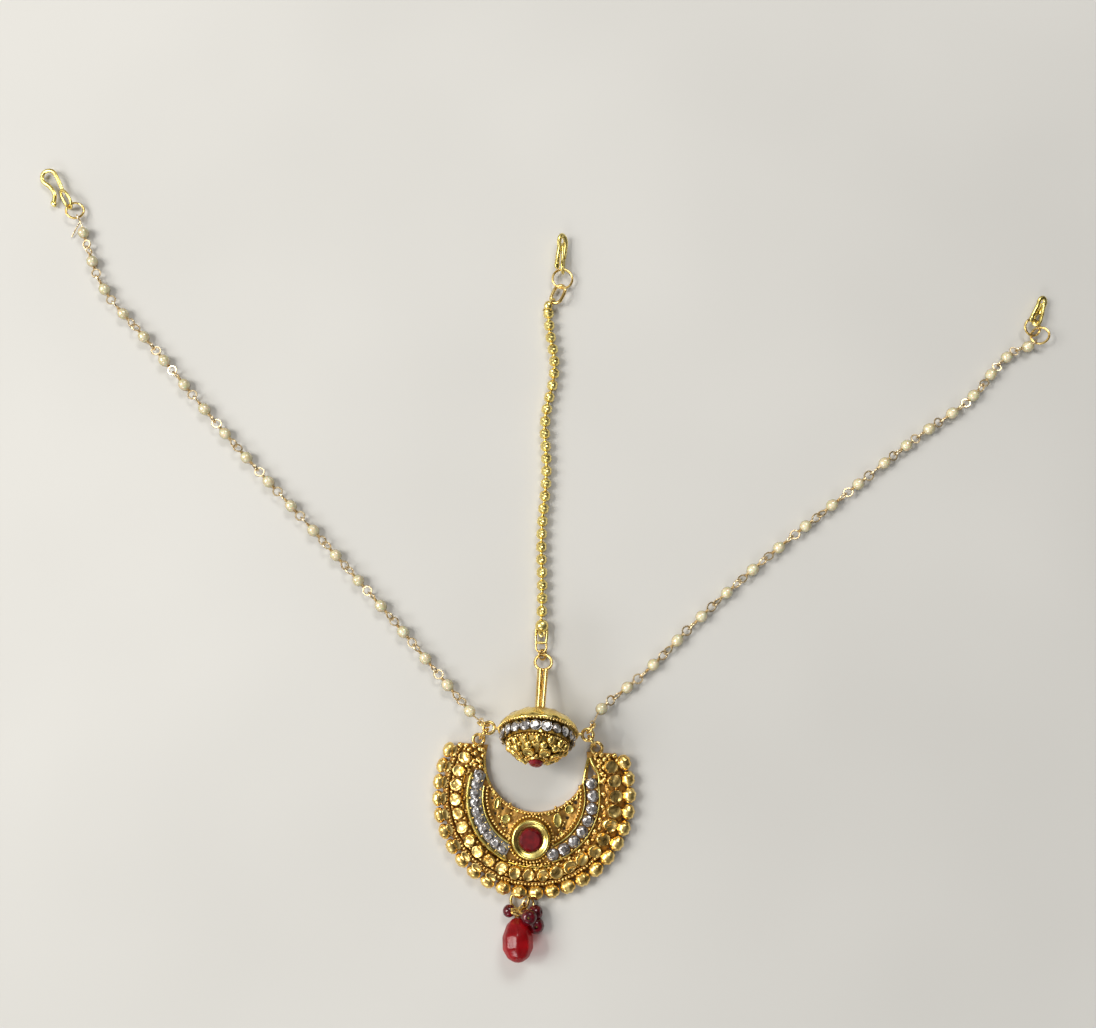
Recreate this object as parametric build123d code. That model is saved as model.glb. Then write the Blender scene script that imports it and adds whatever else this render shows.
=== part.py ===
from build123d import *
from math import cos, pi, radians, sin, tan
import os

# A maang tikka laid flat: a crescent pendant under a domed boss, a ball chain up the parting and a string
# of pearls to each side, each ending in a ring and an S-hook. Millimetres.
# The origin is on the surface it lies on, under the centre ruby. +X is to the right, +Y runs up the
# pendant to the ball chain's hook, +Z is up.

# Crescent, drawn from centres on its own axis
plate_thick = 1.2
rim_centre_y, rim_radius = 12.3, 25.4
mouth_centre_y, mouth_radius = 21.4, 14.2
horn_top_y, horn_corner = 24.6, 1.2
bead_count, bead_radius, bead_z, bead_circle, bead_pitch = 24, 1.72, 1.78, 26.5, 9.79
petal_count, petal_radius, petal_circle, petal_pitch = 23, 1.62, 21.75, 10.26
petal_z, petal_base_from, petal_base_to, petal_base_top = 1.65, 20.2, 23.3, 1.7
grain_ridge_radius, ridge_width, ridge_top = 24.05, 0.7, 1.9
channel_centre_y = 11.5
channel_outer, channel_inner, wall_thick = 18.7, 13.8, 0.75
channel_top, channel_floor = 3.1, 1.7
channel_end_y, channel_apex = 18.0, (15.2, 23.2)
inner_ridge_radius = 12.5
window_foot_y, window_width, window_height = 18.6, 1.5, 2.4
panel_holes = ((10.6, 9.4, 1.3), (8.2, 4.4, 1.2), (3.4, 6.6, 0.8))
horn_eye_x, horn_eye_y, horn_eye_z = 16.6, 25.8, 1.5

# Ruby, clear stones and their bezels
ruby_radius, ruby_top, ruby_girdle = 3.3, 4.9, 3.6
bezel_radius, bezel_top, bezel_seat = 5.3, 4.2, 2.2
bezel_ridge_radius = 6.15
stone_radius, stone_top, stone_circle = 1.28, 3.35, 16.3
left_row = (10, 163.0, 242.5)
right_row = (8, 376.5, 292.5)
strip_half_width, strip_thick = 1.0, 0.3
seat_gap = 0.1

# Boss: turned about an axis that leans, so that it lies on its lip and on its stem's ring
boss_y, boss_lean = 27.7, 23.5
lip_radius, lip_from = 11.0, -2.4
cap_profile = ((-8.4, 1.3), (-7.6, 3.6), (-6.6, 6.4), (-5.2, 8.7), (-3.6, 10.3), (lip_from, lip_radius))
groove_radius, groove_from, groove_to = 8.7, -1.6, 1.6
dome_profile = ((groove_to, 8.3), (3.0, 8.0), (4.3, 7.0), (5.3, 5.3), (5.9, 3.4))
shell_thick = 0.8
tip_bezel_radius, tip_bezel_to = 2.45, 6.8
tip_ruby_radius, tip_ruby_from, tip_ruby_to = 1.9, 6.2, 7.3
belt_count, belt_stone_radius, belt_seat_radius, belt_tip_radius = 21, 1.38, 9.3, 10.45
stem_wire, stem_spread, stem_from, stem_to = 0.62, 0.55, -7.6, -20.6
stem_ring_along, stem_ring_radius = -22.7, 2.35
side_eye_x, eye_radius, eye_wire = 13.5, 1.5, 0.38

# Wire, rings and links
thin_wire, ring_wire, link_wire = 0.25, 0.34, 0.3
ring_play = 0.2
horn_link_radius, horn_link_wire, horn_link_play = 1.1, 0.35, 0.1
jump_ring_radius, jump_ring_shift, string_eye_radius = 1.6, 0.6, 0.95
left_ring_radius, centre_ring_radius, right_ring_radius = 2.54, 2.97, 2.5
chain_link_radius, ring_link_radius = 1.5, 1.9
hook_wire = 0.42
hook_bend = ((-4.3, 4.9), (-2.2, 7.3), (-2.3, 10.6), (-3.9, 13.9), (-1.9, 16.2), (1.2, 14.9), (1.3, 11.5),
             (0.5, 6.6))
hook_bend_radii = (2.0, 3.0, 2.5, 1.3, 1.6, 1.3)
hook_loop = ((0.4, 7.4), (-1.5, 5.6), (-1.6, 1.0), (0.2, 0.0), (1.8, 1.4), (1.9, 5.0))
hook_loop_radii = (0.8, 2.0, 1.0, 0.8, 1.0, 2.0)

# Hooks and their rings: ring (centre, roll), hook (loop end, heading, roll, rise, loop's twist, size)
left_ring, left_ring_roll = (-151.5, 174.3, 1.75), 10.0
left_hook = ((-152.7, 175.0, 1.7), 126.6, -10.7, 0.0, -33.6, 0.96)
centre_ring, centre_ring_roll = (-2.3, 162.8, 1.77), 2.3
centre_hook = ((-2.35, 164.66, 1.76), 93.0, 43.7, 2.9, 34.9, 0.76)
right_ring, right_ring_roll = (138.4, 157.3, 2.0), 13.8
right_hook = ((139.6, 158.1, 1.75), 79.0, 41.4, 1.8, -110.1, 0.66)
lower_ring, lower_ring_way, lower_ring_roll = (140.54, 154.9, 2.18), (-0.03, -1.0, 0.0), 25.9

# Links at the ends of the ball chain: centres of an oval link's two bends, or a round link's centre
upper_link, upper_link_roll = ((-2.93, 158.86, 2.01), (-3.59, 157.02, 2.11)), 38.5
lower_link, lower_link_roll = ((-0.85, 52.7, 1.56), (-1.2, 55.8, 1.56)), -10.7
stem_link, stem_link_radius, stem_link_roll = (-0.35, 50.64, 1.36), 1.4, 47.0

# Routes of the pearl strings and the ball chain: tubes as thick as their pearls and balls
pearl_radius, ball_radius = 1.5, 1.45
left_route = ((-149.3, 170.6, 1.5), (-145.9, 162.4, 1.5), (-139.6, 149.2, 1.5), (-123.0, 134.0, 1.5),
              (-98.0, 108.2, 1.5), (-70.0, 82.6, 1.5), (-46.5, 60.4, 1.5), (-33.4, 47.2, 1.5),
              (-26.0, 39.7, 1.5), (-21.2, 35.0, 2.0), (-18.2, 32.2, 4.3))
right_route = ((16.3, 35.8, 4.3), (19.3, 38.9, 2.0), (24.4, 43.3, 1.5), (31.5, 50.2, 1.5),
               (43.5, 64.2, 1.5), (62.0, 83.0, 1.5), (84.0, 102.6, 1.5), (104.5, 121.5, 1.5),
               (120.6, 133.6, 1.5), (128.6, 145.6, 1.5), (134.0, 150.4, 1.5), (138.6, 151.8, 1.5))
chain_route = ((-6.0, 154.3, 1.45), (-5.3, 146.5, 1.45), (-2.0, 134.5, 1.45), (-5.1, 119.0, 1.45),
               (-2.6, 104.5, 1.45), (-3.4, 84.5, 1.45), (-1.5, 68.0, 1.45), (-1.4, 59.8, 1.45))

# Drop: a loop soldered under the two lowest beads, a wire wrap, a red glass drop and three garnet beads
drop_loop, drop_loop_radius = (-0.5, -16.3, 1.3), 2.45
wrap_ring, wrap_radius = (-1.5, -18.85, 1.45), 1.1
wrap_neck_radius, wrap_neck_stop = 0.55, 0.65
drop_start, drop_run = (-2.7, -21.0, 2.75), (0.2, -0.945, 0.25)
drop_profile = ((0.0, 0.7), (1.2, 2.0), (3.4, 3.4), (6.2, 4.2), (8.6, 4.0), (10.4, 2.8), (11.4, 1.2))
garnets = {"garnet_left": ((-4.9, -19.2, 1.62), 1.6), "garnet_upper": ((1.9, -18.8, 3.95), 1.85),
           "garnet_lower": ((3.3, -21.7, 1.82), 1.8)}

boss_axis = Vector(0, -cos(radians(boss_lean)), sin(radians(boss_lean)))
boss_up = Vector(0, sin(radians(boss_lean)), cos(radians(boss_lean)))
boss_z = lip_radius * boss_up.Z - lip_from * boss_axis.Z
boss_centre = Vector(0, boss_y, boss_z)
boss_plane = Plane(origin=boss_centre, x_dir=(1, 0, 0), z_dir=boss_axis)
stem_ring_centre = boss_centre + boss_axis * stem_ring_along


def on_circle(radius, angle, centre_y, z=0.0):
    return Vector(radius * cos(radians(angle)), centre_y + radius * sin(radians(angle)), z)


def fan(count, pitch):
    """Angles of a row spread evenly to both sides of straight down."""
    return [-90 + pitch * (i - (count - 1) / 2) for i in range(count)]


def disc(radius, centre_y):
    return Pos(0, centre_y) * Circle(radius)


def band(outer, inner, centre_y, low, high):
    """A curved strip that is kept to the crescent's own outline."""
    ring = disc(outer, centre_y) - disc(inner, centre_y)
    return Pos(0, 0, low) * extrude(ring & outline(), high - low)


def outline():
    flat = disc(rim_radius, rim_centre_y) - disc(mouth_radius, mouth_centre_y)
    flat -= Pos(0, horn_top_y) * Rectangle(80, 40, align=(Align.CENTER, Align.MIN))
    return flat


def rolled(along, roll):
    """The upward normal of a plane that holds the direction along, rolled about it by so many degrees."""
    along = Vector(*along).normalized()
    side = along.cross(Vector(0, 0, 1)).normalized()
    upward = side.cross(along)
    return upward * cos(radians(roll)) + side * sin(radians(roll))


def ring_at(centre, along, roll, radius, wire):
    return Plane(origin=centre, x_dir=along, z_dir=rolled(along, roll)) * Torus(radius, wire)


def oval_link(start, end, roll, radius, wire):
    """A long link round two points, its plane rolled about the line between them."""
    run = Vector(*end) - Vector(*start)
    bend = Torus(radius, wire, major_angle=180, align=None)
    bar = Rot(0, 90, 0) * Cylinder(wire, run.length, align=(Align.CENTER, Align.CENTER, Align.MIN))
    flat = Pos(0, radius, 0) * bar + Pos(0, -radius, 0) * bar
    flat += Pos(run.length, 0, 0) * Rot(0, 0, -90) * bend
    flat += Rot(0, 0, 90) * bend
    return Plane(origin=start, x_dir=run, z_dir=rolled(run, roll)) * flat


def bend_radii(route):
    """Each corner's radius: as large as its two runs allow."""
    points = [Vector(*p) for p in route]
    radii = []
    for before, here, after in zip(points, points[1:], points[2:]):
        turn = radians((here - before).get_angle(after - here))
        radii.append(0.45 * min((here - before).length, (after - here).length) / tan(turn / 2))
    return radii


def string_tube(name, route, radius):
    radii = bend_radii(route)
    path = FilletPolyline(*route, radius=radii)
    tube = sweep(Plane(origin=path @ 0, z_dir=path % 0) * Circle(radius), path=path)
    print(name, "length", round(path.length, 1), "radii", [round(r, 1) for r in radii],
          "volume ratio", round(tube.volume / (pi * radius**2 * path.length), 4))
    return tube


def rod(start, end, radius):
    run = Vector(*end) - Vector(*start)
    return Plane(origin=start, z_dir=run) * Cylinder(radius, run.length,
                                                     align=(Align.CENTER, Align.CENTER, Align.MIN))


def end_eye(tube_end, eye, roll):
    """The thin wire and closed eye that a string ends in."""
    run = Vector(*tube_end) - Vector(*eye)
    foot = Vector(*eye) + run.normalized() * string_eye_radius
    return rod(foot, tube_end, thin_wire) + ring_at(eye, run, roll, string_eye_radius, thin_wire)


def wire_along(points, radii, wire, close=False):
    path = FilletPolyline(*points, radius=radii, close=close)
    return sweep(Plane(origin=path @ 0, z_dir=path % 0) * Circle(wire), path=path)


def hook(foot, heading, roll, rise, twist, size):
    """A wire hook whose closed loop lies at foot; heading and rise give the way that it points."""
    along = Vector(cos(radians(heading)) * cos(radians(rise)), sin(radians(heading)) * cos(radians(rise)),
                   sin(radians(rise)))
    normal = rolled(along, roll)
    bend = wire_along([(x * size, y * size) for x, y in hook_bend], [r * size for r in hook_bend_radii],
                      hook_wire)
    loop = wire_along([(x * size, y * size) for x, y in hook_loop], [r * size for r in hook_loop_radii],
                      hook_wire, close=True)
    shape = bend + Rot(0, twist, 0) * loop
    return Plane(origin=foot, x_dir=along.cross(normal), z_dir=normal) * shape


def toward(start, end, distance):
    """The point so far from start on the way to end."""
    start = Vector(*start)
    return start + (Vector(*end) - start).normalized() * distance


def rim_ball(circle, angle, z, radius):
    """A ball on the rim, turned with it so that every one is cut alike."""
    return Pos(on_circle(circle, angle, rim_centre_y, z)) * Rot(0, 0, angle) * Sphere(radius)


def crescent():
    plate = extrude(fillet(outline().vertices(), horn_corner), plate_thick)
    plate += band(petal_base_to, petal_base_from, rim_centre_y, 0, petal_base_top)
    plate += band(grain_ridge_radius + ridge_width / 2, grain_ridge_radius - ridge_width / 2, rim_centre_y,
                  0, ridge_top)
    plate += channel()
    plate += band(inner_ridge_radius + ridge_width / 2, inner_ridge_radius - ridge_width / 2,
                  channel_centre_y, 0, ridge_top)
    edge = disc(mouth_radius + ridge_width, mouth_centre_y) - disc(mouth_radius, mouth_centre_y)
    plate += extrude(edge & outline(), ridge_top)
    for side in (-1, 1):
        for x, y, radius in panel_holes:
            plate -= Pos(side * x, y) * Cylinder(radius, 4 * plate_thick)
    window = Pos(channel_apex[0] - 0.35, window_foot_y) * Triangle(
        a=window_width * 1.5, b=window_height * 1.4, c=window_height * 1.4,
        align=(Align.CENTER, Align.MIN))
    plate -= Pos(0, 0, -1) * extrude(window, 4 * channel_top)
    plate += extrude(disc(bezel_ridge_radius + ridge_width / 2, 0), channel_floor)
    plate += Cylinder(bezel_radius, bezel_top, align=(Align.CENTER, Align.CENTER, Align.MIN))
    plate -= Pos(0, 0, bezel_seat) * Cylinder(ruby_radius + seat_gap, 2 * bezel_top,
                                              align=(Align.CENTER, Align.CENTER, Align.MIN))
    plate += [rim_ball(petal_circle, angle, petal_z, petal_radius)
              for angle in fan(petal_count, petal_pitch)]
    plate += [rim_ball(bead_circle, angle, bead_z, bead_radius) for angle in fan(bead_count, bead_pitch)]
    for side in (-1, 1):
        plate += Pos(side * horn_eye_x, horn_eye_y, horn_eye_z) * Torus(eye_radius, eye_wire)
        plate += Pos(side * horn_eye_x, horn_top_y - 0.6, horn_eye_z - 0.4) * Box(2.2, 1.4, 0.8)
    plate += Pos(drop_loop) * Torus(drop_loop_radius, ring_wire)
    return plate


def channel():
    ring = disc(channel_outer, channel_centre_y) - disc(channel_inner, channel_centre_y)
    lower = Pos(0, channel_end_y) * Rectangle(80, 80, align=(Align.CENTER, Align.MAX))
    groove = disc(channel_outer - wall_thick, channel_centre_y)
    groove -= disc(channel_inner + wall_thick, channel_centre_y)
    block = extrude(ring & lower & outline(), channel_top)
    block -= Pos(0, 0, channel_floor) * extrude(groove & lower, channel_top)
    for side in (-1, 1):
        foot = on_circle(channel_outer - wall_thick / 2, 22.0, channel_centre_y)
        run = Vector(channel_apex[0] - foot.X, channel_apex[1] - foot.Y)
        rail = Pos(side * (foot.X + run.X / 2), foot.Y + run.Y / 2, channel_top / 2)
        rail *= Rot(0, 0, -side * degrees_from_up(run))
        block += rail * Box(wall_thick, run.length, channel_top)
    return block


def degrees_from_up(run):
    return Vector(0, 1, 0).get_angle(Vector(run.X, run.Y, 0)) * (1 if run.X > 0 else -1)


def stone_row(count, first, last):
    """Round stones on a foil strip that lies on the channel's floor."""
    low, high = min(first, last), max(first, last)
    strip = disc(stone_circle + strip_half_width, channel_centre_y)
    strip -= disc(stone_circle - strip_half_width, channel_centre_y)
    sector = Polyline((0, channel_centre_y), *[on_circle(40, low + (high - low) * i / 4, channel_centre_y)
                                              for i in range(5)], close=True)
    floor_z = channel_floor + seat_gap
    row = Pos(0, 0, floor_z) * extrude(strip & make_face(sector), strip_thick)
    for i in range(count):
        spot = on_circle(stone_circle, first + (last - first) * i / (count - 1), channel_centre_y, floor_z)
        row += Pos(spot) * Cone(stone_radius, 0.7 * stone_radius, stone_top - floor_z,
                                align=(Align.CENTER, Align.CENTER, Align.MIN))
    return row


def centre_ruby():
    low = bezel_seat + seat_gap
    stone = Cylinder(ruby_radius, ruby_girdle - low, align=(Align.CENTER, Align.CENTER, Align.MIN))
    stone += Pos(0, 0, ruby_girdle - low) * Cone(ruby_radius, 0.6 * ruby_radius, ruby_top - ruby_girdle,
                                                 align=(Align.CENTER, Align.CENTER, Align.MIN))
    return Pos(0, 0, low) * stone


def turned(profile):
    """Turns (along, radius) points about the boss's axis."""
    ends = [(profile[0][0], 0.0), *profile, (profile[-1][0], 0.0)]
    face = make_face(Polyline(*[(radius, along) for along, radius in ends], close=True))
    return boss_plane * Rot(90, 0, 0) * revolve(face, Axis.Y)


def boss():
    skin = (*cap_profile, (groove_from, lip_radius), (groove_from, groove_radius),
            (groove_to, groove_radius - 0.6), *dome_profile)
    hollow = [(along + (shell_thick if along < 0 else -shell_thick), max(radius - shell_thick, 0.2))
              for along, radius in (*cap_profile[:-1], (groove_from, groove_radius), *dome_profile)]
    body = turned(skin) - turned(hollow)
    body += boss_plane * Pos(0, 0, dome_profile[-1][0] - shell_thick) * Cylinder(
        tip_bezel_radius, tip_bezel_to - dome_profile[-1][0] + shell_thick,
        align=(Align.CENTER, Align.CENTER, Align.MIN))
    body -= boss_plane * Pos(0, 0, tip_ruby_from - seat_gap) * Cylinder(
        tip_ruby_radius + seat_gap, 4, align=(Align.CENTER, Align.CENTER, Align.MIN))
    for side in (-1, 1):
        body += boss_plane * Pos(side * stem_spread, 0, stem_to) * Cylinder(
            stem_wire, stem_from - stem_to, align=(Align.CENTER, Align.CENTER, Align.MIN))
        body += side_eye(side)
    body += ring_at(stem_ring_centre, boss_axis, 0, stem_ring_radius, ring_wire)
    return body


def eye_centre(side):
    return boss_centre + boss_axis * (lip_from + groove_from) / 2 + Vector(side * side_eye_x, 0, 0)


def side_eye(side):
    """A flat eye on a short lug at the widest place of the lip."""
    centre = eye_centre(side)
    root = boss_centre + boss_axis * (lip_from + groove_from) / 2 + Vector(side * (lip_radius - 0.5), 0, 0)
    return Pos(centre) * Torus(eye_radius, eye_wire) + rod(root, toward(centre, root, eye_radius), eye_wire)


def horn_link(side):
    """The long link from the boss's side eye down to the eye on the horn."""
    upper, lower = eye_centre(side), Vector(side * horn_eye_x, horn_eye_y, horn_eye_z)
    level = Vector(lower.X - upper.X, lower.Y - upper.Y, 0).normalized() * eye_radius
    start, end = upper + level, lower - level
    return oval_link(toward(start, end, horn_link_play), toward(end, start, horn_link_play), 90,
                     horn_link_radius, horn_link_wire)


def jump_ring(side, string_end, roll):
    """The ring between the boss's side eye and the eye of a pearl string."""
    eye = eye_centre(side)
    flat = Vector(string_end[0] - eye.X, string_end[1] - eye.Y, 0).normalized()
    wire_spot = eye + flat * eye_radius
    centre = toward(wire_spot, string_end, jump_ring_shift)
    return centre, ring_at(centre, Vector(*string_end) - wire_spot, roll, jump_ring_radius, link_wire)


def boss_belt():
    """Clear stones that stand out round the groove, on a foil band."""
    low, high = belt_seat_radius - 0.4, belt_seat_radius
    belt = Cylinder(high, 1.6) - Cylinder(low, 3)
    for i in range(belt_count):
        stone = Cone(belt_stone_radius, 0.7 * belt_stone_radius, belt_tip_radius - low - 0.1,
                     align=(Align.CENTER, Align.CENTER, Align.MIN))
        belt += Rot(0, 0, 360 * (i + 0.5) / belt_count) * Pos(low + 0.1, 0, 0) * Rot(0, 90, 0) * stone
    return boss_plane * belt


def tip_ruby():
    return boss_plane * Pos(0, 0, tip_ruby_from) * Cone(
        tip_ruby_radius, 0.75 * tip_ruby_radius, tip_ruby_to - tip_ruby_from,
        align=(Align.CENTER, Align.CENTER, Align.MIN))


def pearl_string(name, route, hook_ring, ring_radius, hook_roll, side, jump_roll, eye_roll):
    """A string's tube with its two end eyes, and the jump ring that ties it to the boss."""
    hook_end, boss_end = (route[0], route[-1]) if side < 0 else (route[-1], route[0])
    centre, jump = jump_ring(side, boss_end, jump_roll)
    string = string_tube(name, route, pearl_radius)
    string += end_eye(boss_end, toward(centre, boss_end, jump_ring_radius + ring_play), eye_roll)
    string += end_eye(hook_end, toward(hook_ring, hook_end, ring_radius + ring_play), hook_roll)
    return string, jump


def ball_chain():
    chain = string_tube("ball chain", chain_route, ball_radius)
    for end, link_spot, roll in ((chain_route[0], upper_link[1], 104.6), (chain_route[-1], lower_link[1], 63)):
        radius = ring_link_radius if end is chain_route[0] else chain_link_radius
        chain += end_eye(end, toward(link_spot, end, radius + ring_play), roll)
    return chain


def drop_wrap():
    wrap = ring_at(wrap_ring, (0, 1, 0), 90, wrap_radius, thin_wire)
    return wrap + rod(toward(wrap_ring, drop_start, wrap_radius),
                      toward(drop_start, wrap_ring, wrap_neck_stop), wrap_neck_radius)


def drop_bead():
    ends = [(drop_profile[0][0], 0.0), *drop_profile, (drop_profile[-1][0], 0.0)]
    face = make_face(Polyline(*[(radius, along) for along, radius in ends], close=True))
    return Plane(origin=drop_start, z_dir=drop_run) * Rot(90, 0, 0) * revolve(face, Axis.Y)


os.makedirs("parts", exist_ok=True)
left_string, left_jump = pearl_string("left string", left_route, left_ring, left_ring_radius, -97, -1, 67, -14)
right_string, right_jump = pearl_string("right string", right_route, lower_ring, right_ring_radius, 103, 1,
                                        -75, 30)
nodes = {
    "crescent": crescent(),
    "stones_left": stone_row(*left_row),
    "stones_right": stone_row(*right_row),
    "centre_ruby": centre_ruby(),
    "boss": boss(),
    "boss_stones": boss_belt(),
    "boss_ruby": tip_ruby(),
    "horn_link_left": horn_link(-1),
    "horn_link_right": horn_link(1),
    "jump_ring_left": left_jump,
    "jump_ring_right": right_jump,
    "pearl_string_left": left_string,
    "pearl_string_right": right_string,
    "ball_chain": ball_chain(),
    "upper_chain_link": oval_link(*upper_link, upper_link_roll, ring_link_radius, link_wire),
    "lower_chain_link": oval_link(*lower_link, lower_link_roll, chain_link_radius, link_wire),
    "stem_link": ring_at(stem_link, (0, 1, 0), stem_link_roll, stem_link_radius, link_wire),
    "hook_ring_left": ring_at(left_ring, (-0.6, 0.8, 0), left_ring_roll, left_ring_radius, ring_wire),
    "hook_ring_centre": ring_at(centre_ring, (0, 1, 0), centre_ring_roll, centre_ring_radius, ring_wire),
    "hook_ring_right": ring_at(right_ring, (0.2, 0.98, 0), right_ring_roll, right_ring_radius, ring_wire),
    "lower_ring_right": ring_at(lower_ring, lower_ring_way, lower_ring_roll, right_ring_radius, ring_wire),
    "hook_left": hook(*left_hook),
    "hook_centre": hook(*centre_hook),
    "hook_right": hook(*right_hook),
    "drop_wrap": drop_wrap(),
    "drop_bead": drop_bead(),
}
for name, (centre, radius) in garnets.items():
    nodes[name] = Pos(centre) * Sphere(radius)
for name, solid in nodes.items():
    export_step(solid, f"parts/{name}.step")
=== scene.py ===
import bpy
import random
from math import atan2, cos, pi, radians, sin
from mathutils import Matrix, Vector


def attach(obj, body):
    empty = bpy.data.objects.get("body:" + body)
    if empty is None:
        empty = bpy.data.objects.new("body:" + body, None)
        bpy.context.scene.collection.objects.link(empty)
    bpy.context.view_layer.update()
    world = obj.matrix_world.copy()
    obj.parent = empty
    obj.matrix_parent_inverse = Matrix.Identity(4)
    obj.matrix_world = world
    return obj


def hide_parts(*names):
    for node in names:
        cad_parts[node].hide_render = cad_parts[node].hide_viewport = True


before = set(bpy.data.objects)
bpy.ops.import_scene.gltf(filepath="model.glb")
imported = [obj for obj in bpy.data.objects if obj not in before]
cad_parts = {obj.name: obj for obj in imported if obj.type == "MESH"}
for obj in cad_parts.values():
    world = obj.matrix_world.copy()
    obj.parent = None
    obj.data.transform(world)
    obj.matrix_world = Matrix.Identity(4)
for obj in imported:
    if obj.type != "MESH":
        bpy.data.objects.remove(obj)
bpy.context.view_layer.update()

# Maang tikka laid flat: crescent pendant, domed boss, ball chain, two pearl strings, hooks and a red drop.
# Sizes are in millimetres unless a note says otherwise, and are turned to metres as they are used.
mm = 0.001
random.seed(23)


def pick(*things):
    if bpy.context.object and bpy.context.object.mode != "OBJECT":
        bpy.ops.object.mode_set(mode="OBJECT")
    bpy.ops.object.select_all(action="DESELECT")
    for thing in things:
        thing.select_set(True)
    bpy.context.view_layer.objects.active = things[0]


def settle(thing, name):  # place and turn go into the mesh
    pick(thing)
    bpy.ops.object.transform_apply(location=True, rotation=True, scale=True)
    thing.name = name
    thing.data.name = name
    return thing


def joined(name, things):
    for thing in things:
        settle(thing, thing.name)
    pick(*things)
    if len(things) > 1:
        bpy.ops.object.join()
    return settle(bpy.context.object, name)


def copied(source, place):
    twin = source.copy()
    twin.data = source.data.copy()
    twin.data.transform(place)
    bpy.context.collection.objects.link(twin)
    return twin


def repeated(name, source, places):  # modelled once, then a copy with its own mesh at each place
    settle(source, source.name)
    twins = [copied(source, place) for place in places]
    bpy.data.objects.remove(source)
    pick(*twins)
    if len(twins) > 1:
        bpy.ops.object.join()
    return settle(bpy.context.object, name)


def modified(thing, kind, **settings):
    pick(thing)
    modifier = thing.modifiers.new("work", kind)
    for key, value in settings.items():
        setattr(modifier, key, value)
    bpy.ops.object.modifier_apply(modifier=modifier.name)
    return thing


def editFaces(thing, wanted):  # leaves edit mode on with the wanted faces selected
    pick(thing)
    bpy.ops.object.mode_set(mode="EDIT")
    bpy.ops.mesh.select_mode(type="FACE")
    bpy.ops.mesh.select_all(action="DESELECT")
    bpy.ops.object.mode_set(mode="OBJECT")
    for face in thing.data.polygons:
        face.select = wanted(face.center, face.normal)
    bpy.ops.object.mode_set(mode="EDIT")


def editAll(thing):  # leaves edit mode on with everything selected
    pick(thing)
    bpy.ops.object.mode_set(mode="EDIT")
    bpy.ops.mesh.select_all(action="SELECT")


def doneEditing():
    bpy.ops.object.mode_set(mode="OBJECT")


def inset(*steps):  # each step a thickness and a depth
    for thickness, depth in steps:
        bpy.ops.mesh.inset(thickness=thickness * mm, depth=depth * mm)
    doneEditing()


def closeUp(thing):  # doubles merged, then faces turned outwards
    editAll(thing)
    bpy.ops.mesh.remove_doubles(threshold=0.002 * mm)
    bpy.ops.mesh.dissolve_degenerate(threshold=0.001 * mm)
    bpy.ops.mesh.delete_loose(use_faces=False)
    bpy.ops.mesh.select_all(action="SELECT")
    bpy.ops.mesh.normals_make_consistent(inside=False)
    doneEditing()
    return thing


def smooth(thing, degrees=40):
    pick(thing)
    bpy.ops.object.shade_smooth_by_angle(angle=radians(degrees))
    return thing


def flat(thing):
    pick(thing)
    bpy.ops.object.shade_flat()
    return thing


def move(x, y, z):
    return Matrix.Translation(Vector((x, y, z)) * mm)


def turn(degrees, axis="Z"):
    return Matrix.Rotation(radians(degrees), 4, axis)


def stretch(x, y, z):
    return Matrix.Diagonal((x, y, z, 1))


def sway(degrees, axis="Z"):  # turned by chance, up to so many degrees either way
    return turn(random.uniform(-degrees, degrees), axis)


def moved(thing, place):
    thing.data.transform(place)
    return thing


def facing(direction, up=(0, 0, 1)):  # turn that brings local Z onto a direction
    z = Vector(direction).normalized()
    x = Vector(up).cross(z)
    x = x.normalized() if x.length > 1e-4 else Vector((1, 0, 0))
    return Matrix((x, z.cross(x), z)).transposed().to_4x4()


def tipped(run, degrees):  # square to a heading, rolled round it by so many degrees from upright
    side = run.cross(Vector((0, 0, 1))).normalized()
    return side.cross(run) * cos(radians(degrees)) + side * sin(radians(degrees))


def onArc(centre, radius, degrees, z):  # local X points outwards
    a = radians(degrees)
    return move(centre[0] + radius * cos(a), centre[1] + radius * sin(a), z) @ turn(degrees)


def spread(first, last, steps):  # even values, both ends included
    return [first + (last - first) * i / steps for i in range(steps + 1)]


def arcPlaces(centre, radius, z, start, end, pitch):
    steps = max(1, round(radians(abs(end - start)) * radius / pitch))
    return [onArc(centre, radius, a, z) for a in spread(start, end, steps)]


def fan(count, pitch):  # spread evenly to both sides of straight down
    return [-90 + pitch * (i - (count - 1) / 2) for i in range(count)]


def spun(name, profile, start=0, sweep=360, steps=64, centre=(0, 0)):
    # profile of (radius, height), turned about a standing axis
    whole = sweep == 360
    bpy.ops.mesh.primitive_circle_add(vertices=len(profile), radius=mm,
                                      fill_type="NOTHING" if whole else "NGON")
    ring = bpy.context.object
    a = radians(start)
    for vertex, (radius, height) in zip(ring.data.vertices, profile):
        vertex.co = (radius * mm * cos(a), radius * mm * sin(a), height * mm)
    editAll(ring)
    bpy.ops.mesh.spin(steps=steps, angle=-radians(sweep), center=(0, 0, 0), axis=(0, 0, 1))
    doneEditing()
    ring.name = name
    return moved(closeUp(ring), move(centre[0], centre[1], 0))


def roundWire(radius, z, thick, sides=10):  # profile of a round wire bent to a radius
    angles = [2 * pi * i / sides for i in range(sides)]
    return [(radius + thick * cos(a), z + thick * sin(a)) for a in angles]


def wallProfile(inner, outer, low, high, crown):  # a strip with a rounded top edge
    middle, half = (inner + outer) / 2, (outer - inner) / 2
    top = [(middle + half * cos(radians(a)), high - crown + crown * sin(radians(a)))
           for a in range(0, 181, 30)]
    return [(outer, low)] + top + [(inner, low)]


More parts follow.
